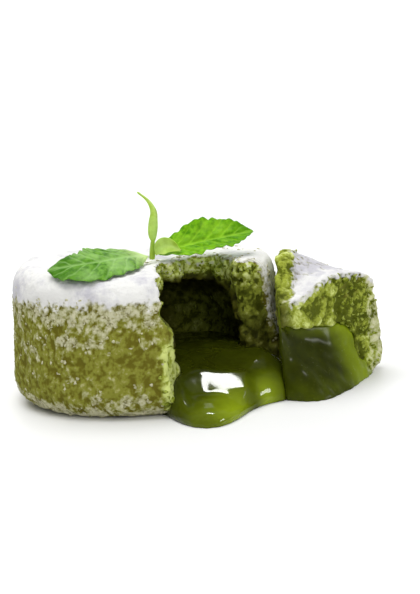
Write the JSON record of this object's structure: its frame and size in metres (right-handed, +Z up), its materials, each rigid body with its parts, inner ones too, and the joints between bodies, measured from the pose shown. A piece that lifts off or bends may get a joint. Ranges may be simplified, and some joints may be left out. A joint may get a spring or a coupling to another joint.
{
  "type": "lava cake",
  "caption": "Low round green-tea lava cake, cut open with the slice beside it, molten filling running out of its hollow, and a sprig of mint on its sugared top.",
  "frame": {"origin": "centre of the cake's flat base, on the surface it stands on", "axes": "+Z up, +X towards the slice that stands beside the cake, -Y towards the front, where the cut opens and the filling runs out"},
  "size_m": [0.1017, 0.0871, 0.0554],
  "materials": {
    "green_tea_sponge": "dry green-tea sponge crust, torn crumb at the cuts, icing sugar on top",
    "molten_filling": "wet glossy molten green-tea filling",
    "mint_leaf": "fresh mint leaf with sunken veins and a soft sheen",
    "mint_shoot": "pale young mint stalk and shoot"
  },
  "bodies": {
    "root": {"cake": "green_tea_sponge", "slice": "green_tea_sponge", "filling": "molten_filling", "slice_filling": "molten_filling", "mint_stalk": "mint_shoot", "mint_leaf_left": "mint_leaf", "mint_leaf_right": "mint_leaf", "mint_shoot": "mint_shoot", "mint_leaf_young": "mint_shoot"}
  },
  "joints": []
}
